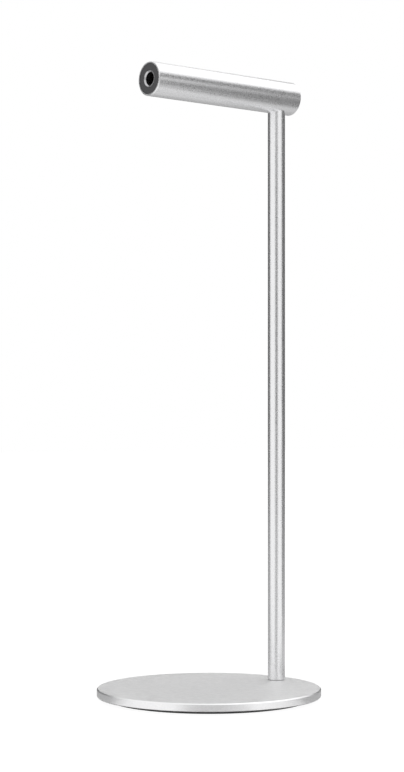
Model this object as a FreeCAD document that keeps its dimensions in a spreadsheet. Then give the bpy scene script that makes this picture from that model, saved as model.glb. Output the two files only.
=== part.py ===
import FreeCAD, Part
import math
import os
import Sketcher
from FreeCAD import Placement, Rotation, Vector

# A desk headphone stand. A thin round aluminium base lies on an anti-slip pad. A slim upright rod stands
# near the base's back edge, held by a countersunk screw from below. A short round head tube lies level
# across the rod's top and reaches forwards over the base, and the headband hangs over it. Inside the tube
# a tapped core takes the stud that joins tube and rod. Plastic plugs close the tube's ends, and the front
# plug holds a socket with a metal lip.
#
# Frame: +Z up, the head reaches towards -Y, and the origin is under the base's centre, on the desk.
# Lengths are in millimetres.

DRIVING_SIZES = {
    "base_radius": 50.0,
    "base_thickness": 3.6,
    "base_edge_chamfer": 0.5,
    "base_under_chamfer": 0.3,
    "pad_recess": 0.5,
    "pad_radius": 44.8,
    "pad_thickness": 1.8,
    "pad_edge_round": 0.4,
    "adhesive_radius": 44.0,
    "adhesive_thickness": 0.2,
    "fit_gap": 0.03,
    "thread_radius": 2.0,
    "screw_hole_radius": 2.15,
    "screw_head_radius": 4.0,
    "screw_head_height": 2.3,
    "screw_head_land": 0.3,
    "screw_length": 12.0,
    "screw_key_flat": 1.26,
    "screw_key_depth": 1.4,
    "rod_radius": 3.95,
    "rod_offset": 40.45,
    "rod_end_chamfer": 0.2,
    "rod_foot_thread_depth": 11.0,
    "rod_top_thread_depth": 12.0,
    "head_axis_height": 272.8,
    "head_front": -34.0,
    "head_length": 83.0,
    "tube_radius": 7.5,
    "tube_bore_radius": 6.75,
    "tube_edge_chamfer": 0.25,
    "seat_height": 2.6,
    "core_length": 17.0,
    "core_front_reach": 12.0,
    "core_edge_chamfer": 0.5,
    "core_thread_depth": 7.5,
    "stud_length": 16.0,
    "stud_edge_chamfer": 0.4,
    "stud_key_flat": 1.02,
    "stud_key_depth": 2.2,
    "plug_edge_round": 0.25,
    "plug_stem_radius": 6.0,
    "rib_width": 0.8,
    "front_plug_length": 19.0,
    "front_face_depth": 2.5,
    "socket_radius": 2.9,
    "socket_depth": 17.0,
    "lip_radius": 3.65,
    "lip_thickness": 0.8,
    "lip_rim_round": 0.1,
    "lip_bevel": 0.6,
    "barrel_radius": 3.25,
    "barrel_length": 5.0,
    "rear_plug_length": 3.4,
    "rear_face_depth": 1.6,
    "rear_hollow_radius": 4.6,
    "rear_hollow_depth": 1.8,
}
RIB_COUNT = 6
TINY = 1e-4

doc = FreeCAD.newDocument("headphone_stand")
sizes = doc.addObject("Spreadsheet::Sheet", "sizes")
for row, (alias, value) in enumerate(DRIVING_SIZES.items(), start=1):
    sizes.set(f"A{row}", alias)
    sizes.set(f"B{row}", str(value))
    sizes.setAlias(f"B{row}", alias)
doc.recompute()


# ---------------------------------------------------------------- shared modelling steps
def size(text):
    """The sheet's expression for a formula written with its aliases as <alias>."""
    return text.replace("<", "sizes.").replace(">", "")


def new_body(label, y="0", z="0", tilt=0):
    """A PartDesign body at a bound place, turned about the row's X axis by tilt degrees."""
    body = doc.addObject("PartDesign::Body", label)
    body.Label = label
    body.Placement = Placement(Vector(0, 0, 0), Rotation(Vector(1, 0, 0), tilt))
    for axis, formula in (("y", y), ("z", z)):
        if formula != "0":
            body.setExpression(f"Placement.Base.{axis}", size(formula))
    return body


def origin_part(body, role):
    """The plane or axis of the body's own origin that has this role."""
    return next(part for part in body.Origin.OriginFeatures if part.Role == role)


def new_sketch(body, name, role="XY_Plane", lift="0"):
    """A sketch on one of the body's origin planes, raised along the plane's normal by a bound length."""
    sketch = body.newObject("Sketcher::SketchObject", name)
    sketch.AttachmentSupport = [(origin_part(body, role), "")]
    sketch.MapMode = "FlatFace"
    if lift != "0":
        sketch.setExpression("AttachmentOffset.Base.z", size(lift))
    return sketch


def bind(sketch, constraint, name, formula):
    """Adds one dimension to a sketch and binds it to the sheet."""
    index = sketch.addConstraint(constraint)
    sketch.renameConstraint(index, name)
    sketch.setExpression(f"Constraints.{name}", size(formula))


def add_circle(sketch, radius, y="0"):
    """A circle of a bound radius, on the sketch's vertical axis at a bound height."""
    middle = Vector(0, 0 if y == "0" else 1, 0)
    circle = sketch.addGeometry(Part.Circle(middle, Vector(0, 0, 1), 3.0), False)
    bind(sketch, Sketcher.Constraint("Radius", circle, 3.0), "radius", radius)
    if y == "0":
        sketch.addConstraint(Sketcher.Constraint("Coincident", circle, 3, -1, 1))
    else:
        sketch.addConstraint(Sketcher.Constraint("PointOnObject", circle, 3, -2))
        bind(sketch, Sketcher.Constraint("DistanceY", -1, 1, circle, 3, 1.0), "height", y)


def add_polygon(sketch, corners):
    """Straight sides from corner to corner and back to the first, joined at their ends."""
    count = len(corners)
    sides = [
        sketch.addGeometry(Part.LineSegment(corners[i], corners[(i + 1) % count]), False)
        for i in range(count)
    ]
    for i in range(count):
        joint = Sketcher.Constraint("Coincident", sides[i], 2, sides[(i + 1) % count], 1)
        sketch.addConstraint(joint)
    return sides


def add_key_hexagon(sketch, flat):
    """A hexagon about the origin with its flats at a bound distance, for a hex key."""
    corner = 2.0
    turns = [math.radians(60 * step) for step in range(6)]
    corners = [Vector(corner * math.cos(turn), corner * math.sin(turn), 0) for turn in turns]
    sides = add_polygon(sketch, corners)
    ring = sketch.addGeometry(Part.Circle(Vector(0, 0, 0), Vector(0, 0, 1), corner), True)
    sketch.addConstraint(Sketcher.Constraint("Coincident", ring, 3, -1, 1))
    for side in sides:
        sketch.addConstraint(Sketcher.Constraint("PointOnObject", side, 1, ring))
    for side in sides[1:]:
        sketch.addConstraint(Sketcher.Constraint("Equal", sides[0], side))
    sketch.addConstraint(Sketcher.Constraint("PointOnObject", sides[0], 1, -1))
    bind(sketch, Sketcher.Constraint("Radius", ring, corner), "corners", f"{flat} / cos(30)")


def pad(body, sketch, length, name):
    """A pad of a bound length along the sketch's normal."""
    feature = body.newObject("PartDesign::Pad", name)
    feature.Profile = sketch
    feature.setExpression("Length", size(length))
    doc.recompute()
    return feature


def pocket(body, sketch, length, name, reverse=False):
    """A pocket of a bound depth, against the sketch's normal unless reversed. It must cut something."""
    before = body.Tip.Shape.Volume
    feature = body.newObject("PartDesign::Pocket", name)
    feature.Profile = sketch
    feature.Reversed = reverse
    feature.setExpression("Length", size(length))
    doc.recompute()
    if feature.Shape.Volume > before - TINY:
        raise RuntimeError(f"{body.Label}: pocket {name} cut nothing")
    return feature


def round_edge(feature, end, rim):
    """Name of the widest ("outer") or narrowest ("inner") round edge at a feature's "low" or "high" end."""
    box = feature.Shape.BoundBox
    height = box.ZMin if end == "low" else box.ZMax
    rounds = []
    for number, edge in enumerate(feature.Shape.Edges, start=1):
        if isinstance(edge.Curve, Part.Circle) and abs(edge.Curve.Center.z - height) < TINY:
            rounds.append((edge.Curve.Radius, f"Edge{number}"))
    return max(rounds)[1] if rim == "outer" else min(rounds)[1]


def dress(body, kind, feature, edges, amount, name):
    """A Chamfer or Fillet of a bound size on some of a feature's edges, each given as (end, rim)."""
    dressed = body.newObject(f"PartDesign::{kind}", name)
    dressed.Base = (feature, [round_edge(feature, end, rim) for end, rim in edges])
    setting = "Size" if kind == "Chamfer" else "Radius"
    dressed.setExpression(setting, size(amount))
    doc.recompute()
    return dressed


# ---------------------------------------------------------------- the base
RECESS_TOP = "<pad_thickness> + <adhesive_thickness>"
DISC_FLOOR = RECESS_TOP + " - <pad_recess>"
DISC_TOP = DISC_FLOOR + " + <base_thickness>"
BOTH_ENDS = [("low", "outer"), ("high", "outer")]


def make_anti_slip_pad():
    """The soft pad that meets the desk. It hides the base screw."""
    body = new_body("anti_slip_pad")
    outline = new_sketch(body, "pad_outline")
    add_circle(outline, "<pad_radius>")
    disc = pad(body, outline, "<pad_thickness>", "pad_disc")
    dress(body, "Fillet", disc, [("low", "outer")], "<pad_edge_round>", "pad_soft_edge")


def make_pad_adhesive():
    """The double-sided film that holds the pad in the base's recess."""
    body = new_body("pad_adhesive", z="<pad_thickness>")
    outline = new_sketch(body, "film_outline")
    add_circle(outline, "<adhesive_radius>")
    pad(body, outline, "<adhesive_thickness>", "film_disc")


def make_base_disc():
    """The aluminium plate: a bright chamfer round its top, a recess below for the pad, and the
    countersunk hole under the rod."""
    body = new_body("base_disc", z=DISC_FLOOR)
    outline = new_sketch(body, "disc_outline")
    add_circle(outline, "<base_radius>")
    plate = pad(body, outline, "<base_thickness>", "disc_plate")
    turned = dress(body, "Chamfer", plate, [("high", "outer")], "<base_edge_chamfer>", "bright_edge")
    dress(body, "Chamfer", turned, [("low", "outer")], "<base_under_chamfer>", "under_edge")
    recess = new_sketch(body, "pad_recess_outline")
    add_circle(recess, "<pad_radius> + <pad_recess> / 2")
    pocket(body, recess, "<pad_recess>", "pad_recess", reverse=True)
    hole = new_sketch(body, "screw_hole", lift="<pad_recess>")
    add_circle(hole, "<screw_hole_radius>", y="<rod_offset>")
    pocket(body, hole, "<base_thickness>", "screw_hole_drilled", reverse=True)
    land = new_sketch(body, "screw_land", lift="<pad_recess>")
    add_circle(land, "<screw_head_radius> + <fit_gap>", y="<rod_offset>")
    pocket(body, land, "<screw_head_land>", "screw_land_bored", reverse=True)
    sink = new_sketch(body, "countersink_profile", role="YZ_Plane")
    add_countersink_profile(sink)
    cut = body.newObject("PartDesign::Groove", "countersink")
    cut.Profile = sink
    cut.ReferenceAxis = (sink, ["Axis0"])
    cut.Angle = 360
    doc.recompute()


def add_countersink_profile(sketch):
    """Half the countersink's cone, beside a construction line on the screw's axis."""
    low, high, near, far = 0.8, 4.8, 40.0, 44.0
    corners = [Vector(near, low, 0), Vector(far, low, 0), Vector(near, high, 0)]
    floor, slope, upright = add_polygon(sketch, corners)
    axis = sketch.addGeometry(Part.LineSegment(corners[0], corners[2]), True)
    sketch.addConstraint(Sketcher.Constraint("Coincident", axis, 1, floor, 1))
    sketch.addConstraint(Sketcher.Constraint("Coincident", axis, 2, slope, 2))
    sketch.addConstraint(Sketcher.Constraint("Horizontal", floor))
    sketch.addConstraint(Sketcher.Constraint("Vertical", upright))
    sketch.addConstraint(Sketcher.Constraint("Equal", floor, upright))
    reach = Sketcher.Constraint("DistanceX", floor, 1, floor, 2, far - near)
    bind(sketch, reach, "cone_radius", "<screw_head_radius> + <fit_gap>")
    across = Sketcher.Constraint("DistanceX", -1, 1, floor, 1, near)
    bind(sketch, across, "axis_offset", "<rod_offset>")
    rise = Sketcher.Constraint("DistanceY", -1, 1, floor, 1, low)
    bind(sketch, rise, "cone_floor", "<pad_recess> + <screw_head_land>")


def make_base_screw():
    """The countersunk hex-socket M4 screw, from below through the disc into the rod's foot."""
    body = new_body("base_screw", y="<rod_offset>", z=RECESS_TOP)
    head = new_sketch(body, "screw_head_outline")
    add_circle(head, "<screw_head_radius>")
    blank = pad(body, head, "<screw_head_height>", "screw_head")
    taper = "<screw_head_radius> - <thread_radius>"
    dress(body, "Chamfer", blank, [("high", "outer")], taper, "screw_head_taper")
    shank = new_sketch(body, "screw_shank_outline")
    add_circle(shank, "<thread_radius> - <fit_gap>")
    pad(body, shank, "<screw_length>", "screw_shank")
    key = new_sketch(body, "screw_key")
    add_key_hexagon(key, "<screw_key_flat>")
    pocket(body, key, "<screw_key_depth>", "screw_key_socket", reverse=True)


# ---------------------------------------------------------------- the upright
ROD_TOP = "<head_axis_height> - <tube_bore_radius> + <seat_height>"
ROD_LENGTH = (
    ROD_TOP + " - <pad_thickness> - <adhesive_thickness> + <pad_recess> - <base_thickness>"
)


def make_upright_rod():
    """The solid rod, tapped at both ends. Its top enters the tube and seats in the core."""
    body = new_body("upright_rod", y="<rod_offset>", z=DISC_TOP)
    outline = new_sketch(body, "rod_outline")
    add_circle(outline, "<rod_radius>")
    bar = pad(body, outline, ROD_LENGTH, "rod_bar")
    dress(body, "Chamfer", bar, BOTH_ENDS, "<rod_end_chamfer>", "rod_ends")
    foot = new_sketch(body, "rod_foot_thread")
    add_circle(foot, "<thread_radius>")
    pocket(body, foot, "<rod_foot_thread_depth>", "rod_foot_tapping", reverse=True)
    top = new_sketch(body, "rod_top_thread", lift=ROD_LENGTH)
    add_circle(top, "<thread_radius>")
    pocket(body, top, "<rod_top_thread_depth>", "rod_top_tapping")


def make_head_stud():
    """The M4 set screw that joins the rod's top to the core, its hex socket in its upper end."""
    foot = ROD_TOP + " - <rod_top_thread_depth> + <stud_edge_chamfer>"
    body = new_body("head_stud", y="<rod_offset>", z=foot)
    outline = new_sketch(body, "stud_outline")
    add_circle(outline, "<thread_radius> - <fit_gap>")
    bar = pad(body, outline, "<stud_length>", "stud_bar")
    dress(body, "Chamfer", bar, BOTH_ENDS, "<stud_edge_chamfer>", "stud_ends")
    key = new_sketch(body, "stud_key", lift="<stud_length>")
    add_key_hexagon(key, "<stud_key_flat>")
    pocket(body, key, "<stud_key_depth>", "stud_key_socket")


# ---------------------------------------------------------------- the head
# The pieces of the head lie along Y. A front piece's own Z runs from its front face towards +Y, and the
# rear plug's runs from its back face towards -Y.
FACES_FRONT = -90
FACES_BACK = 90


def make_head_tube():
    """The round tube that the headband hangs over, drilled below where the rod enters."""
    body = new_body("head_tube", y="<head_front>", z="<head_axis_height>", tilt=FACES_FRONT)
    outline = new_sketch(body, "tube_outline")
    add_circle(outline, "<tube_radius>")
    bar = pad(body, outline, "<head_length>", "tube_bar")
    dress(body, "Chamfer", bar, BOTH_ENDS, "<tube_edge_chamfer>", "tube_end_edges")
    bore = new_sketch(body, "tube_bore")
    add_circle(bore, "<tube_bore_radius>")
    pocket(body, bore, "<head_length>", "tube_bored", reverse=True)
    entry = new_sketch(body, "rod_entry", role="XZ_Plane")
    add_circle(entry, "<rod_radius> + <fit_gap>", y="<rod_offset> - <head_front>")
    pocket(body, entry, "<tube_radius>", "tube_rod_hole")


def make_head_core():
    """The tapped core, pressed into the tube over the rod, with a flat seat for the rod's end."""
    front = "<rod_offset> - <core_front_reach>"
    body = new_body("head_core", y=front, z="<head_axis_height>", tilt=FACES_FRONT)
    outline = new_sketch(body, "core_outline")
    add_circle(outline, "<tube_bore_radius> - <fit_gap>")
    bar = pad(body, outline, "<core_length>", "core_bar")
    dress(body, "Chamfer", bar, BOTH_ENDS, "<core_edge_chamfer>", "core_ends")
    seat_lift = "<seat_height> - <tube_bore_radius>"
    seat = new_sketch(body, "core_seat", role="XZ_Plane", lift=seat_lift)
    add_circle(seat, "<rod_radius> + <fit_gap>", y="<core_front_reach>")
    pocket(body, seat, "<tube_radius>", "core_rod_seat")
    thread = new_sketch(body, "core_thread", role="XZ_Plane", lift=seat_lift)
    add_circle(thread, "<thread_radius>", y="<core_front_reach>")
    pocket(body, thread, "<core_thread_depth>", "core_tapping", reverse=True)


def add_crush_ribs(body, start, reach):
    """Short ribs round a plug's stem, which grip the tube's bore."""
    sketch = new_sketch(body, "rib_outline", lift=start)
    root, tip, half = 5.6, 6.7, 0.4
    corners = [Vector(root, -half, 0), Vector(tip, -half, 0), Vector(tip, half, 0), Vector(root, half, 0)]
    lower, end, upper, back = add_polygon(sketch, corners)
    sketch.addConstraint(Sketcher.Constraint("Horizontal", lower))
    sketch.addConstraint(Sketcher.Constraint("Horizontal", upper))
    sketch.addConstraint(Sketcher.Constraint("Vertical", back))
    sketch.addConstraint(Sketcher.Constraint("Symmetric", end, 1, end, 2, -1))
    width = Sketcher.Constraint("DistanceY", end, 1, end, 2, 2 * half)
    bind(sketch, width, "rib_width", "<rib_width>")
    inner = Sketcher.Constraint("DistanceX", -1, 1, lower, 1, root)
    bind(sketch, inner, "rib_root", "<plug_stem_radius> - <rib_width> / 2")
    outer = Sketcher.Constraint("DistanceX", -1, 1, lower, 2, tip)
    bind(sketch, outer, "rib_tip", "<tube_bore_radius> - 2 * <fit_gap>")
    rib = pad(body, sketch, reach, "rib")
    ribs = body.newObject("PartDesign::PolarPattern", "ribs")
    ribs.Originals = [rib]
    ribs.Axis = (origin_part(body, "Z_Axis"), [""])
    ribs.Angle = 360
    ribs.Occurrences = RIB_COUNT
    body.Tip = ribs
    doc.recompute()


def make_plug_blank(body, face_depth, length):
    """A plug's round face and its thinner ribbed stem, from its face inwards along the body's Z."""
    face = new_sketch(body, "plug_face")
    add_circle(face, "<tube_bore_radius> - <fit_gap>")
    disc = pad(body, face, face_depth, "plug_face_disc")
    dress(body, "Fillet", disc, [("low", "outer")], "<plug_edge_round>", "plug_face_edge")
    stem = new_sketch(body, "plug_stem", lift=face_depth)
    add_circle(stem, "<plug_stem_radius>")
    pad(body, stem, f"{length} - {face_depth}", "plug_stem_bar")
    add_crush_ribs(body, face_depth, f"({length} - {face_depth}) / 2")


def make_front_plug():
    """The dark front plug, with its blind socket and the step that the metal lip sits in."""
    body = new_body("front_plug", y="<head_front>", z="<head_axis_height>", tilt=FACES_FRONT)
    make_plug_blank(body, "<front_face_depth>", "<front_plug_length>")
    for name, radius, depth in (
        ("socket", "<socket_radius>", "<socket_depth>"),
        ("barrel_seat", "<barrel_radius> + <fit_gap>", "<barrel_length>"),
        ("lip_seat", "<lip_radius> + <fit_gap>", "<lip_thickness>"),
    ):
        outline = new_sketch(body, name + "_outline")
        add_circle(outline, radius)
        pocket(body, outline, depth, name, reverse=True)


def make_front_eyelet():
    """The socket's turned metal lip: a thin barrel with a bevelled mouth, level with the plug."""
    body = new_body("front_eyelet", y="<head_front>", z="<head_axis_height>", tilt=FACES_FRONT)
    lip = new_sketch(body, "lip_outline")
    add_circle(lip, "<lip_radius>")
    ring = pad(body, lip, "<lip_thickness>", "lip_ring")
    dress(body, "Fillet", ring, [("low", "outer")], "<lip_rim_round>", "lip_rim")
    barrel = new_sketch(body, "barrel_outline")
    add_circle(barrel, "<barrel_radius>")
    pad(body, barrel, "<barrel_length>", "barrel")
    bore = new_sketch(body, "mouth_bore")
    add_circle(bore, "<socket_radius>")
    bored = pocket(body, bore, "<barrel_length>", "mouth_bored", reverse=True)
    dress(body, "Chamfer", bored, [("low", "inner")], "<lip_bevel>", "mouth_bevel")


def make_rear_plug():
    """The plain rear plug, facing the other way and cored out from inside."""
    rear = "<head_front> + <head_length>"
    body = new_body("rear_plug", y=rear, z="<head_axis_height>", tilt=FACES_BACK)
    make_plug_blank(body, "<rear_face_depth>", "<rear_plug_length>")
    hollow = new_sketch(body, "rear_hollow", lift="<rear_plug_length>")
    add_circle(hollow, "<rear_hollow_radius>")
    pocket(body, hollow, "<rear_hollow_depth>", "rear_plug_hollow")


def check_document():
    """Every object must have built, and every body must be one valid closed solid."""
    doc.recompute()
    for item in doc.Objects:
        if {"Invalid", "Error"} & set(item.State):
            raise RuntimeError(f"{item.Name} failed: {item.State}")
    for body in doc.findObjects("PartDesign::Body"):
        shape = body.Shape
        if shape.isNull() or not shape.isValid() or len(shape.Solids) != 1:
            raise RuntimeError(f"{body.Label} is not one valid solid")


def export_parts():
    """Writes each body to its own file, named by its label."""
    os.makedirs("parts", exist_ok=True)
    for body in doc.findObjects("PartDesign::Body"):
        body.Shape.exportStep(f"parts/{body.Label}.step")
        print(f"{body.Label}: {body.Shape.Volume:.1f} mm3")


make_anti_slip_pad()
make_pad_adhesive()
make_base_disc()
make_base_screw()
make_upright_rod()
make_head_stud()
make_head_tube()
make_head_core()
make_front_plug()
make_front_eyelet()
make_rear_plug()
check_document()
export_parts()
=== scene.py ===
import math

import bmesh
import bpy
from mathutils import Matrix, Vector


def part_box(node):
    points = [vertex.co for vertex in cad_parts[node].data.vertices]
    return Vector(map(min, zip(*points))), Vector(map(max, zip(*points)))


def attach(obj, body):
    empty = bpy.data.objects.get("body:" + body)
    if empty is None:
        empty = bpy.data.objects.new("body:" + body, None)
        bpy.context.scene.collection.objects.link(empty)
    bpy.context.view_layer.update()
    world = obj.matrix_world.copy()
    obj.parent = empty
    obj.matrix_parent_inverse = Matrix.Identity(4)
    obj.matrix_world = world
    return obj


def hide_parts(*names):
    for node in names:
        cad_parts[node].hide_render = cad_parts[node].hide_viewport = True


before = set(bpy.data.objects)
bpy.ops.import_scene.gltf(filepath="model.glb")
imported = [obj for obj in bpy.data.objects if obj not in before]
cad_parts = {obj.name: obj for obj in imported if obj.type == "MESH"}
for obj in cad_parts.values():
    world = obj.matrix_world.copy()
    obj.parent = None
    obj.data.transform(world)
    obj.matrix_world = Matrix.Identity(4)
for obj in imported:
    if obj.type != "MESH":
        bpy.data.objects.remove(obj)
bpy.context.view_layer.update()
MM = 0.001

# ---------------------------------------------------------------- base disc
# A round aluminium plate, turned and bead-blasted, then clear anodised. Its top edge is cut bright
# with a 45 degree chamfer. Its underside has a shallow recess for the pad, and a countersunk hole lies
# under the rod.
disc_low, disc_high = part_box("base_disc")
disc_radius = disc_high.x
disc_thickness = disc_high.z - disc_low.z
bright_edge = 0.5 * MM
under_edge = 0.3 * MM
edge_break = 0.05 * MM
pad_recess = 0.5 * MM
pad_low, pad_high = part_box("anti_slip_pad")
recess_radius = pad_high.x + pad_recess / 2
rod_low, rod_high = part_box("upright_rod")
rod_foot = Vector((0, (rod_low.y + rod_high.y) / 2, rod_low.z))
screw_low, screw_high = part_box("base_screw")
screw_hole_radius = 2.15 * MM
screw_land = 0.3 * MM
NEAR = 0.001 * MM
upwards = Vector((0, 0, 1))
SHARP_ANGLE = math.radians(30)


def turned(name, outline, centre, axis, steps, closed=False):
    """A piece turned from an outline of (radius, distance along the axis) points."""
    shape = bmesh.new()
    points = [
        shape.verts.new(centre + Vector((radius, 0, 0)) + axis * along)
        for radius, along in outline
    ]
    runs = list(zip(points, points[1:]))
    if closed:
        runs.append((points[-1], points[0]))
    edges = [shape.edges.new(run) for run in runs]
    bmesh.ops.spin(
        shape,
        geom=points + edges,
        cent=centre,
        axis=axis,
        angle=math.tau,
        steps=steps,
        use_merge=True,
    )
    bmesh.ops.remove_doubles(shape, verts=shape.verts, dist=NEAR)
    bmesh.ops.recalc_face_normals(shape, faces=shape.faces)
    return finished(name, shape)


def finished(name, shape):
    """Makes the bmesh an object that rides on the stand, smooth over its round faces."""
    mesh = bpy.data.meshes.new(name)
    shape.to_mesh(mesh)
    shape.free()
    mesh.shade_smooth()
    mesh.set_sharp_from_angle(angle=SHARP_ANGLE)
    piece = bpy.data.objects.new(name, mesh)
    bpy.context.scene.collection.objects.link(piece)
    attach(piece, "root")
    return piece


def break_edges(piece, width):
    """Takes the sharpness off a piece's edges, as tumbling and blasting do."""
    edges = piece.modifiers.new("broken_edges", "BEVEL")
    edges.width = width
    edges.segments = 2
    edges.limit_method = "ANGLE"
    edges.angle_limit = SHARP_ANGLE
    edges.harden_normals = True


def cut_away(piece, cutter):
    """Cuts a hole in a piece with the cutter's shape, and removes the cutter."""
    cut = piece.modifiers.new("hole", "BOOLEAN")
    cut.object = cutter
    cut.solver = "EXACT"
    bpy.context.view_layer.update()
    seen = piece.evaluated_get(bpy.context.evaluated_depsgraph_get())
    with_hole = bpy.data.meshes.new_from_object(seen)
    piece.modifiers.remove(cut)
    piece.data = with_hole
    bpy.data.objects.remove(cutter)
    with_hole.set_sharp_from_angle(angle=SHARP_ANGLE)


def blasted_aluminium(name, colour, roughness, grain, mottle, patches=1300.0):
    """Bead-blasted, clear anodised aluminium, with fine pits and an uneven sheen. The blasting leaves
    so many patches to a metre, and mottle says how far they differ."""
    darkest = 1 - 1.6 * mottle
    lightest = 1 + 1.2 * mottle
    darker = [part * darkest for part in colour]
    lighter = [min(1.0, part * lightest) for part in colour]
    metal = bpy.data.materials.new(name)
    metal.use_nodes = True
    nodes = metal.node_tree.nodes
    links = metal.node_tree.links
    nodes.clear()
    out = nodes.new("ShaderNodeOutputMaterial")
    out.label = "surface"
    out.location = (900, 0)
    skin = nodes.new("ShaderNodeBsdfPrincipled")
    skin.label = "anodised skin"
    skin.location = (600, 0)
    skin.inputs["Metallic"].default_value = 1.0
    place = nodes.new("ShaderNodeTexCoord")
    place.label = "place on the stand"
    place.location = (-600, 0)

    sheen_frame = nodes.new("NodeFrame")
    sheen_frame.label = "uneven sheen"
    cloud = nodes.new("ShaderNodeTexNoise")
    cloud.label = "blasting patches"
    cloud.location = (-350, 250)
    cloud.parent = sheen_frame
    cloud.inputs["Scale"].default_value = patches
    cloud.inputs["Detail"].default_value = 5.0
    cloud.inputs["Roughness"].default_value = 0.7
    sheen = nodes.new("ShaderNodeMapRange")
    sheen.label = "patches to sheen"
    sheen.location = (-50, 300)
    sheen.parent = sheen_frame
    sheen.inputs["From Min"].default_value = 0.3
    sheen.inputs["From Max"].default_value = 0.7
    sheen.inputs["To Min"].default_value = roughness - mottle
    sheen.inputs["To Max"].default_value = roughness + mottle
    tint = nodes.new("ShaderNodeMix")
    tint.label = "patches to tone"
    tint.location = (250, 300)
    tint.parent = sheen_frame
    tint.data_type = "RGBA"
    tint.inputs["A"].default_value = (*darker, 1)
    tint.inputs["B"].default_value = (*lighter, 1)

    grain_frame = nodes.new("NodeFrame")
    grain_frame.label = "blasted grain"
    pits = nodes.new("ShaderNodeTexNoise")
    pits.label = "bead pits"
    pits.location = (-350, -250)
    pits.parent = grain_frame
    pits.inputs["Scale"].default_value = 3600.0
    pits.inputs["Detail"].default_value = 3.0
    bump = nodes.new("ShaderNodeBump")
    bump.label = "pits in the skin"
    bump.location = (250, -250)
    bump.parent = grain_frame
    bump.inputs["Strength"].default_value = grain
    bump.inputs["Distance"].default_value = 0.02 * MM

    links.new(place.outputs["Object"], cloud.inputs["Vector"])
    links.new(cloud.outputs["Fac"], sheen.inputs["Value"])
    links.new(sheen.outputs["Result"], skin.inputs["Roughness"])
    links.new(cloud.outputs["Fac"], tint.inputs["Factor"])
    links.new(tint.outputs["Result"], skin.inputs["Base Color"])
    links.new(place.outputs["Object"], pits.inputs["Vector"])
    links.new(pits.outputs["Fac"], bump.inputs["Height"])
    links.new(bump.outputs["Normal"], skin.inputs["Normal"])
    links.new(skin.outputs["BSDF"], out.inputs["Surface"])
    return metal


def cut_metal(name, colour, roughness):
    """Cut or turned metal, bright to dull, with very fine marks left in it; near black, painted shade.
    """
    metal = bpy.data.materials.new(name)
    metal.use_nodes = True
    nodes = metal.node_tree.nodes
    links = metal.node_tree.links
    nodes.clear()
    out = nodes.new("ShaderNodeOutputMaterial")
    out.label = "surface"
    out.location = (700, 0)
    skin = nodes.new("ShaderNodeBsdfPrincipled")
    skin.label = "cut metal"
    skin.location = (400, 0)
    skin.inputs["Metallic"].default_value = 1.0
    skin.inputs["Base Color"].default_value = (*colour, 1)
    skin.inputs["Roughness"].default_value = roughness

    marks_frame = nodes.new("NodeFrame")
    marks_frame.label = "tool marks"
    place = nodes.new("ShaderNodeTexCoord")
    place.label = "place on the stand"
    place.location = (-500, -200)
    place.parent = marks_frame
    marks = nodes.new("ShaderNodeTexNoise")
    marks.label = "fine tool marks"
    marks.location = (-250, -200)
    marks.parent = marks_frame
    marks.inputs["Scale"].default_value = 5000.0
    bump = nodes.new("ShaderNodeBump")
    bump.label = "marks in the metal"
    bump.location = (50, -200)
    bump.parent = marks_frame
    bump.inputs["Strength"].default_value = 0.1
    bump.inputs["Distance"].default_value = 0.01 * MM

    links.new(place.outputs["Object"], marks.inputs["Vector"])
    links.new(marks.outputs["Fac"], bump.inputs["Height"])
    links.new(bump.outputs["Normal"], skin.inputs["Normal"])
    links.new(skin.outputs["BSDF"], out.inputs["Surface"])
    return metal


disc_outline = [
    (0, disc_thickness),
    (disc_radius - bright_edge, disc_thickness),
    (disc_radius, disc_thickness - bright_edge),
    (disc_radius, under_edge),
    (disc_radius - under_edge, 0),
    (recess_radius, 0),
    (recess_radius, pad_recess),
    (0, pad_recess),
]
disc_centre = Vector((0, 0, disc_low.z))
disc = turned("base_disc_blasted", disc_outline, disc_centre, upwards, steps=256)
screw_head_radius = screw_high.x
sink_floor = pad_recess - disc_thickness
sink_outline = [
    (0, sink_floor),
    (screw_head_radius, sink_floor),
    (screw_head_radius, pad_recess + screw_land),
    (screw_hole_radius, pad_recess + screw_land + screw_head_radius - screw_hole_radius),
    (screw_hole_radius, disc_thickness * 2),
    (0, disc_thickness * 2),
]
sink_centre = Vector((0, rod_foot.y, disc_low.z))
sink = turned("countersink_cutter", sink_outline, sink_centre, upwards, steps=64)
cut_away(disc, sink)
blasted_top = blasted_aluminium(
    "base_top_aluminium",
    colour=(0.95, 0.95, 0.954),
    roughness=0.6,
    grain=2.0,
    mottle=0.15,
    patches=500.0,
)
bright_cut = cut_metal("bright_cut_aluminium", colour=(0.92, 0.92, 0.925), roughness=0.34)
blasted_side = blasted_aluminium(
    "base_side_aluminium",
    colour=(0.9, 0.9, 0.905),
    roughness=0.4,
    grain=1.0,
    mottle=0.08,
)
for finish in (blasted_top, bright_cut, blasted_side):
    disc.data.materials.append(finish)
for face in disc.data.polygons:
    on_rim = face.center.xy.length > disc_radius - bright_edge
    if on_rim and face.center.z < disc_high.z - bright_edge:
        face.material_index = 2
    elif on_rim and face.center.z < disc_high.z - NEAR:
        face.material_index = 1
break_edges(disc, edge_break)
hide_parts("base_disc")

# ---------------------------------------------------------------- anti-slip pad
# A round of dark silicone rubber, moulded with a soft lower edge. It sits in the base's recess on a
# double-sided film and stands a little below the plate, set in from its rim.
pad_soft_edge = 0.4 * MM
pad_thickness = pad_high.z - pad_low.z
ROUND_STEPS = 4


def quarter_round(radius, size):
    """Outline points of a rounded outer edge, from the end face that the outline starts on."""
    turns = [math.radians(90) * step / ROUND_STEPS for step in range(ROUND_STEPS + 1)]
    return [
        (radius - size + size * math.sin(turn), size - size * math.cos(turn)) for turn in turns
    ]


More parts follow.
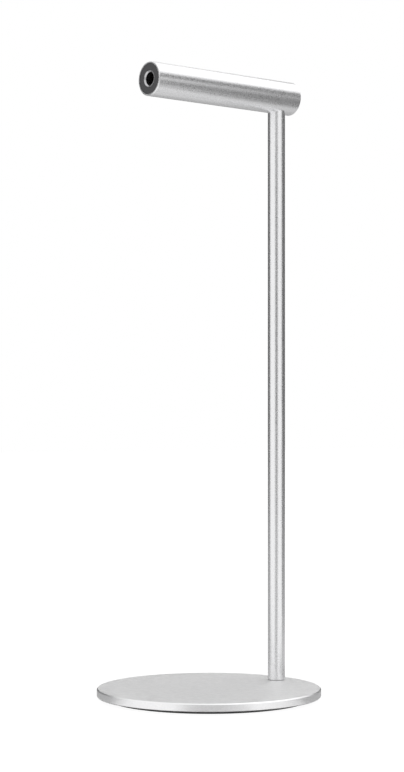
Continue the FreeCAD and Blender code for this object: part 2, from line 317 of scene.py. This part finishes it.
def soft_plastic(name, colour, roughness, grain_scale, grain):
    """Moulded plastic or rubber, the same colour all through, with a fine moulded grain."""
    stuff = bpy.data.materials.new(name)
    stuff.use_nodes = True
    nodes = stuff.node_tree.nodes
    links = stuff.node_tree.links
    nodes.clear()
    out = nodes.new("ShaderNodeOutputMaterial")
    out.label = "surface"
    out.location = (700, 0)
    skin = nodes.new("ShaderNodeBsdfPrincipled")
    skin.label = "moulded skin"
    skin.location = (400, 0)
    skin.inputs["Base Color"].default_value = (*colour, 1)
    skin.inputs["Roughness"].default_value = roughness
    skin.inputs["Specular IOR Level"].default_value = 0.35

    grain_frame = nodes.new("NodeFrame")
    grain_frame.label = "moulded grain"
    place = nodes.new("ShaderNodeTexCoord")
    place.label = "place on the stand"
    place.location = (-500, -200)
    place.parent = grain_frame
    speck = nodes.new("ShaderNodeTexNoise")
    speck.label = "grain of the mould"
    speck.location = (-250, -200)
    speck.parent = grain_frame
    speck.inputs["Scale"].default_value = grain_scale
    speck.inputs["Detail"].default_value = 3.0
    bump = nodes.new("ShaderNodeBump")
    bump.label = "grain in the skin"
    bump.location = (50, -200)
    bump.parent = grain_frame
    bump.inputs["Strength"].default_value = grain
    bump.inputs["Distance"].default_value = 0.03 * MM

    links.new(place.outputs["Object"], speck.inputs["Vector"])
    links.new(speck.outputs["Fac"], bump.inputs["Height"])
    links.new(bump.outputs["Normal"], skin.inputs["Normal"])
    links.new(skin.outputs["BSDF"], out.inputs["Surface"])
    return stuff


pad_outline = [
    (0, 0),
    *quarter_round(pad_high.x, pad_soft_edge),
    (pad_high.x, pad_thickness),
    (0, pad_thickness),
]
pad = turned("anti_slip_pad_rubber", pad_outline, Vector((0, 0, 0)), upwards, steps=192)
pad_rubber = soft_plastic(
    "pad_rubber",
    colour=(0.12, 0.12, 0.122),
    roughness=0.75,
    grain_scale=1800.0,
    grain=0.6,
)
pad.data.materials.append(pad_rubber)
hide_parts("anti_slip_pad")

# ---------------------------------------------------------------- hidden fixings
# The film over the pad, the steel base screw and set screw, and the machined core inside the tube. They
# keep the shapes that they have in the design, and only take their finishes here.
film = soft_plastic(
    "film_plastic",
    colour=(0.72, 0.72, 0.68),
    roughness=0.4,
    grain_scale=900.0,
    grain=0.1,
)
steel = cut_metal("zinc_plated_steel", colour=(0.55, 0.56, 0.58), roughness=0.3)
core_metal = cut_metal("machined_aluminium", colour=(0.8, 0.8, 0.81), roughness=0.28)
for node, stuff in (
    ("pad_adhesive", film),
    ("base_screw", steel),
    ("head_stud", steel),
    ("head_core", core_metal),
):
    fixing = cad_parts[node]
    fixing.data.materials.clear()
    fixing.data.materials.append(stuff)

# ---------------------------------------------------------------- upright rod
# One length of solid round aluminium bar, satin anodised. Both ends are faced, lightly chamfered and
# tapped. The foot stands straight on the plate with no collar. Its small chamfer there is coloured
# dark as painted shade, so that it reads as a shaded groove at the foot.
rod_length = rod_high.z - rod_low.z
rod_radius = (rod_high.x - rod_low.x) / 2
rod_chamfer = 0.2 * MM
thread_radius = 2.0 * MM
foot_tapping = 11.0 * MM
top_tapping = 12.0 * MM
rod_outline = [
    (0, foot_tapping),
    (thread_radius, foot_tapping),
    (thread_radius, 0),
    (rod_radius - rod_chamfer, 0),
    (rod_radius, rod_chamfer),
    (rod_radius, rod_length - rod_chamfer),
    (rod_radius - rod_chamfer, rod_length),
    (thread_radius, rod_length),
    (thread_radius, rod_length - top_tapping),
    (0, rod_length - top_tapping),
]
rod = turned("upright_rod_bar", rod_outline, rod_foot, upwards, steps=96)
satin_bar = blasted_aluminium(
    "satin_bar_aluminium",
    colour=(0.87, 0.87, 0.88),
    roughness=0.29,
    grain=0.06,
    mottle=0.045,
)
# Painted shade: a dark colour on the foot chamfer stands in for the groove's shadow.
painted_groove_shade = cut_metal("painted_groove_shade", colour=(0.12, 0.12, 0.12), roughness=0.6)
rod.data.materials.append(satin_bar)
rod.data.materials.append(painted_groove_shade)
for face in rod.data.polygons:
    if rod_low.z + NEAR < face.center.z < rod_low.z + rod_chamfer:
        face.material_index = 1
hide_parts("upright_rod")

# ---------------------------------------------------------------- head tube
# A short length of thin-walled aluminium tube, satin anodised like the rod. Its ends are faced and
# their outer edges turned off, and the rod enters it through a hole drilled below.
tube_low, tube_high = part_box("head_tube")
tube_length = tube_high.y - tube_low.y
tube_radius = (tube_high.x - tube_low.x) / 2
tube_wall = 0.75 * MM
tube_edge = 0.25 * MM
tube_bore = tube_radius - tube_wall
tube_front = Vector((0, tube_low.y, (tube_low.z + tube_high.z) / 2))
tube_outline = [
    (tube_bore, 0),
    (tube_radius - tube_edge, 0),
    (tube_radius, tube_edge),
    (tube_radius, tube_length - tube_edge),
    (tube_radius - tube_edge, tube_length),
    (tube_bore, tube_length),
]
inwards = Vector((0, 1, 0))
tube = turned("head_tube_shell", tube_outline, tube_front, inwards, steps=128, closed=True)
entry_outline = [(0, 0), (rod_radius, 0), (rod_radius, tube_radius * 2), (0, tube_radius * 2)]
entry_centre = Vector((0, rod_foot.y, tube_front.z - tube_radius * 2))
entry = turned("rod_entry_cutter", entry_outline, entry_centre, upwards, steps=96)
cut_away(tube, entry)
satin_tube = blasted_aluminium(
    "satin_tube_aluminium",
    colour=(0.87, 0.87, 0.88),
    roughness=0.3,
    grain=0.2,
    mottle=0.06,
)
tube.data.materials.append(satin_tube)
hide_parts("head_tube")

# ---------------------------------------------------------------- front plug
# A dark grey moulded plug, pressed into the tube's front end until it is level with it. Six ribs on its
# stem grip the bore, and its blind socket holds a parked headphone plug.
fit_gap = 0.03 * MM
plug_radius = tube_bore - fit_gap
plug_edge = 0.25 * MM
plug_face = 2.5 * MM
stem_radius = 6.0 * MM
front_low, front_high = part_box("front_plug")
front_length = front_high.y - front_low.y
socket_radius = 2.9 * MM
socket_depth = 17.0 * MM
eyelet_low, eyelet_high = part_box("front_eyelet")
lip_radius = (eyelet_high.x - eyelet_low.x) / 2
barrel_length = eyelet_high.y - eyelet_low.y
lip_thickness = 0.8 * MM
barrel_radius = 3.25 * MM
rib_thickness = 0.8 * MM
RIB_COUNT = 6


def add_ribs(piece, face_centre, axis, start, reach):
    """Short ribs round a plug's stem, from start behind its face."""
    shape = bmesh.new()
    shape.from_mesh(piece.data)
    rib_size = Vector((plug_radius - stem_radius + rib_thickness / 2, reach, rib_thickness))
    rib_middle = plug_radius - rib_size.x / 2 - fit_gap
    for step in range(RIB_COUNT):
        around = Matrix.Rotation(math.tau * step / RIB_COUNT, 4, "Y")
        place = Matrix.Translation((rib_middle, (start + reach / 2) * axis.y, 0))
        stretch = Matrix.Diagonal((*rib_size, 1))
        seat = Matrix.Translation(face_centre) @ around @ place @ stretch
        bmesh.ops.create_cube(shape, size=1, matrix=seat)
    shape.to_mesh(piece.data)
    shape.free()


front_outline = [
    (lip_radius + fit_gap, 0),
    *quarter_round(plug_radius, plug_edge),
    (plug_radius, plug_face),
    (stem_radius, plug_face),
    (stem_radius, front_length),
    (0, front_length),
    (0, socket_depth),
    (socket_radius, socket_depth),
    (socket_radius, barrel_length),
    (barrel_radius + fit_gap, barrel_length),
    (barrel_radius + fit_gap, lip_thickness),
    (lip_radius + fit_gap, lip_thickness),
]
front_plug = turned(
    "front_plug_moulding", front_outline, tube_front, inwards, steps=96, closed=True
)
add_ribs(front_plug, tube_front, inwards, plug_face, (front_length - plug_face) / 2)
dark_plastic = soft_plastic(
    "dark_grey_plastic",
    colour=(0.057, 0.057, 0.059),
    roughness=0.5,
    grain_scale=2600.0,
    grain=0.5,
)
front_plug.data.materials.append(dark_plastic)
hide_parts("front_plug")

# ---------------------------------------------------------------- socket lip
# A turned metal eyelet, pressed into the front plug. Its mouth is bevelled to lead a plug in, and its
# barrel saves the plastic from wear. Past the bevel the barrel is coloured near black as painted shade,
# so that the socket reads dark deep inside.
mouth_bevel = 0.6 * MM
lip_round = 0.1 * MM
lip_outline = [
    (socket_radius + mouth_bevel, 0),
    (lip_radius - lip_round, 0),
    (lip_radius, lip_round),
    (lip_radius, lip_thickness),
    (barrel_radius, lip_thickness),
    (barrel_radius, barrel_length),
    (socket_radius, barrel_length),
    (socket_radius, mouth_bevel),
]
eyelet = turned("front_eyelet_lip", lip_outline, tube_front, inwards, steps=96, closed=True)
turned_lip = cut_metal("turned_eyelet", colour=(0.54, 0.54, 0.55), roughness=0.3)
# Painted shade: the barrel past the mouth bevel is coloured near black to stand in for the dark bore.
painted_bore_shade = cut_metal("painted_bore_shade", colour=(0.1, 0.1, 0.1), roughness=0.5)
eyelet.data.materials.append(turned_lip)
eyelet.data.materials.append(painted_bore_shade)
for face in eyelet.data.polygons:
    if face.center.y > tube_front.y + mouth_bevel:
        face.material_index = 1
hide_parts("front_eyelet")

# ---------------------------------------------------------------- rear plug
# The plain plug that closes the tube's back end, of the same dark plastic, shorter than the front one
# and cored out from inside.
rear_low, rear_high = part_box("rear_plug")
rear_length = rear_high.y - rear_low.y
rear_face = 1.6 * MM
hollow_radius = 4.6 * MM
tube_back = Vector((0, tube_high.y, tube_front.z))
outwards = -inwards
rear_outline = [
    (0, 0),
    *quarter_round(plug_radius, plug_edge),
    (plug_radius, rear_face),
    (stem_radius, rear_face),
    (stem_radius, rear_length),
    (hollow_radius, rear_length),
    (hollow_radius, rear_face),
    (0, rear_face),
]
rear_plug = turned("rear_plug_moulding", rear_outline, tube_back, outwards, steps=96)
add_ribs(rear_plug, tube_back, outwards, rear_face, (rear_length - rear_face) / 2)
rear_plug.data.materials.append(dark_plastic)
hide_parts("rear_plug")

# ---------------------------------------------------------------- studio
# A white table under a white sky, with one large soft light overhead. Cards stand and lie round the
# stand, from dark to white, and only reflections show them. They give the round metal its shape.
CAMERA_AZIMUTH = math.radians(50.1)
CAMERA_HEIGHT = 0.1226
CARD_STEPS = 24


def plain_paint(name, colour, glow=0.0):
    """Flat paint with no gloss, lit from within where it glows."""
    paint = bpy.data.materials.new(name)
    paint.use_nodes = True
    nodes = paint.node_tree.nodes
    links = paint.node_tree.links
    nodes.clear()
    out = nodes.new("ShaderNodeOutputMaterial")
    out.label = "surface"
    out.location = (300, 0)
    skin = nodes.new("ShaderNodeBsdfPrincipled")
    skin.label = "plain paint"
    skin.location = (0, 0)
    skin.inputs["Base Color"].default_value = (*colour, 1)
    skin.inputs["Roughness"].default_value = 1.0
    skin.inputs["Specular IOR Level"].default_value = 0.0
    skin.inputs["Emission Color"].default_value = (1, 1, 1, 1)
    skin.inputs["Emission Strength"].default_value = glow
    links.new(skin.outputs["BSDF"], out.inputs["Surface"])
    return paint


def card(name, start, end, low, high, paint):
    """A curved card round the stand, from one (radius, height) to another. It runs between two angles,
    in degrees from the camera's side and positive to the camera's right."""
    card_shape = bmesh.new()
    turn = CAMERA_AZIMUTH + math.radians(start)
    across = Vector((math.sin(turn), -math.cos(turn), 0))
    ends = [
        card_shape.verts.new(across * radius + Vector((0, 0, height)))
        for radius, height in (low, high)
    ]
    edge = card_shape.edges.new(ends)
    bmesh.ops.spin(
        card_shape,
        geom=[*ends, edge],
        cent=(0, 0, 0),
        axis=(0, 0, 1),
        angle=math.radians(end - start),
        steps=CARD_STEPS,
        use_merge=end - start == 360,
    )
    card_mesh = bpy.data.meshes.new(name)
    card_shape.to_mesh(card_mesh)
    card_shape.free()
    board = bpy.data.objects.new(name, card_mesh)
    bpy.context.scene.collection.objects.link(board)
    card_mesh.materials.append(paint)
    board.visible_camera = False
    board.visible_diffuse = False
    board.visible_shadow = False


def standing_card(name, start, end, radius, bottom, top, paint):
    """A card that stands upright, from bottom to top above the table."""
    card(name, start, end, (radius, bottom), (radius, top), paint)


def level_card(name, start, end, inner, outer, height, paint):
    """A card that lies level, between two radii."""
    card(name, start, end, (inner, height), (outer, height), paint)


dark = plain_paint("dark_card", (0.05, 0.05, 0.05))
dim = plain_paint("dim_card", (0.13, 0.13, 0.13))
shade = plain_paint("shade_card", (0.19, 0.19, 0.19))
grey = plain_paint("grey_card", (0.45, 0.45, 0.45))
pale = plain_paint("pale_card", (0.68, 0.68, 0.68))
bright = plain_paint("bright_card", (0.9, 0.9, 0.9), glow=0.12)

# The upright cards: behind the camera, to both sides of the back, and one close behind the head.
WALL = 1.6
SIDE_SPLIT = 0.56
HEAD_REACH = 0.25
standing_card("camera_side_card", -17, 17, WALL, 0, 0.6, dim)
standing_card("back_left_card", -180, -94, WALL, 0, 1.0, dim)
standing_card("back_right_card", 98, 180, WALL, 0, 0.7, dim)
standing_card("side_right_card", 79, 98, WALL, 0, SIDE_SPLIT, dim)
standing_card("side_high_card", 66, 98, WALL, SIDE_SPLIT, 1.15, dim)
standing_card("head_back_card", 156, 194, HEAD_REACH, 0.29, 0.42, dark)

# The level cards lie on the table, from under the base's rim outwards. The last one hangs level with the
# camera, where the head mirrors it and the upright rod can't.
LEVEL = 0.2 * MM
SHADE_START = 0.046
SHADE_END = 0.0507
RIM = 0.053
RIM_REACH = 0.09
NEAR_REACH = 0.12
HEAD_START = 0.24
MIDWAY = 0.29
FAR_REACH = 0.3
level_card("rim_shade", -180, 180, SHADE_START, SHADE_END, LEVEL, dim)
level_card("left_glow", -60, -17, RIM, NEAR_REACH, LEVEL, bright)
level_card("right_glow", 25, 60, RIM, NEAR_REACH, LEVEL, bright)
level_card("left_near_runner", -180, -64, RIM, NEAR_REACH, LEVEL, grey)
level_card("right_near_runner", 64, 180, RIM, NEAR_REACH, LEVEL, grey)
level_card("camera_rim_runner", -16, 24, RIM, RIM_REACH, LEVEL, pale)
level_card("camera_near_runner", -16, 22, RIM_REACH, FAR_REACH, LEVEL, grey)
level_card("camera_side_runner", -16, 18, FAR_REACH, WALL, LEVEL, pale)
level_card("left_far_runner", -180, -94, NEAR_REACH, WALL, LEVEL, grey)
level_card("right_middle_runner", 90, 180, NEAR_REACH, MIDWAY, LEVEL, pale)
level_card("side_right_runner", 82, 106, MIDWAY, WALL, LEVEL, shade)
level_card("right_far_runner", 106, 180, MIDWAY, WALL, LEVEL, grey)
level_card("head_runner", 66, 104, HEAD_START, WALL, CAMERA_HEIGHT, shade)


def table_top(name, height, paint):
    """A wide flat table top."""
    top_shape = bmesh.new()
    bmesh.ops.create_grid(top_shape, x_segments=1, y_segments=1, size=6)
    top_mesh = bpy.data.meshes.new(name)
    top_shape.to_mesh(top_mesh)
    top_shape.free()
    top = bpy.data.objects.new(name, top_mesh)
    top.location.z = height
    bpy.context.scene.collection.objects.link(top)
    top_mesh.materials.append(paint)
    return top


# The camera sees an evenly white top. The one just under it lights the stand and shows in its metal.
lit_white = plain_paint("lit_white", (0.12, 0.12, 0.12), glow=0.95)
plain_white = plain_paint("plain_white", (0.9, 0.9, 0.9), glow=0.1)
seen_table = table_top("table_seen", -0.02 * MM, lit_white)
seen_table.visible_diffuse = False
seen_table.visible_glossy = False
seen_table.visible_shadow = False
bounce_table = table_top("table_bounce", -0.1 * MM, plain_white)
bounce_table.visible_camera = False

sky = bpy.data.worlds.new("white_studio")
bpy.context.scene.world = sky
sky.use_nodes = True
sky.node_tree.nodes.clear()
sky_out = sky.node_tree.nodes.new("ShaderNodeOutputWorld")
sky_out.label = "sky"
sky_out.location = (300, 0)
sky_white = sky.node_tree.nodes.new("ShaderNodeBackground")
sky_white.label = "even white"
sky_white.location = (0, 0)
sky_white.inputs["Color"].default_value = (1, 1, 1, 1)
sky_white.inputs["Strength"].default_value = 1.0
sky.node_tree.links.new(sky_white.outputs["Background"], sky_out.inputs["Surface"])

lamp = bpy.data.lights.new("overhead_light", "AREA")
lamp.shape = "DISK"
lamp.size = 1.6
lamp.energy = 2.5
overhead = bpy.data.objects.new("overhead_light", lamp)
overhead.location = (0.15, 0.8, 1.5)
overhead.rotation_euler = overhead.location.to_track_quat("Z", "Y").to_euler()
bpy.context.scene.collection.objects.link(overhead)
overhead.visible_camera = False

# ---------------------------------------------------------------- camera
# It stands level, a little below the stand's middle, to the front and right of the stand. The small
# shift sets the stand in the frame.
CAMERA_DISTANCE = 0.845
camera_lens = bpy.data.cameras.new("view_camera")
camera_lens.lens = 88.3
camera_lens.sensor_width = 36
camera_lens.shift_x = -0.009
camera_lens.shift_y = 0.0492
camera_lens.clip_start = 0.01
camera = bpy.data.objects.new("view_camera", camera_lens)
towards = Vector((math.sin(CAMERA_AZIMUTH), -math.cos(CAMERA_AZIMUTH), 0))
camera.location = towards * CAMERA_DISTANCE + Vector((0, 0, CAMERA_HEIGHT))
camera.rotation_euler = (math.radians(90), 0, CAMERA_AZIMUTH)
bpy.context.scene.collection.objects.link(camera)
bpy.context.scene.camera = camera
bpy.context.scene.view_settings.view_transform = "Standard"
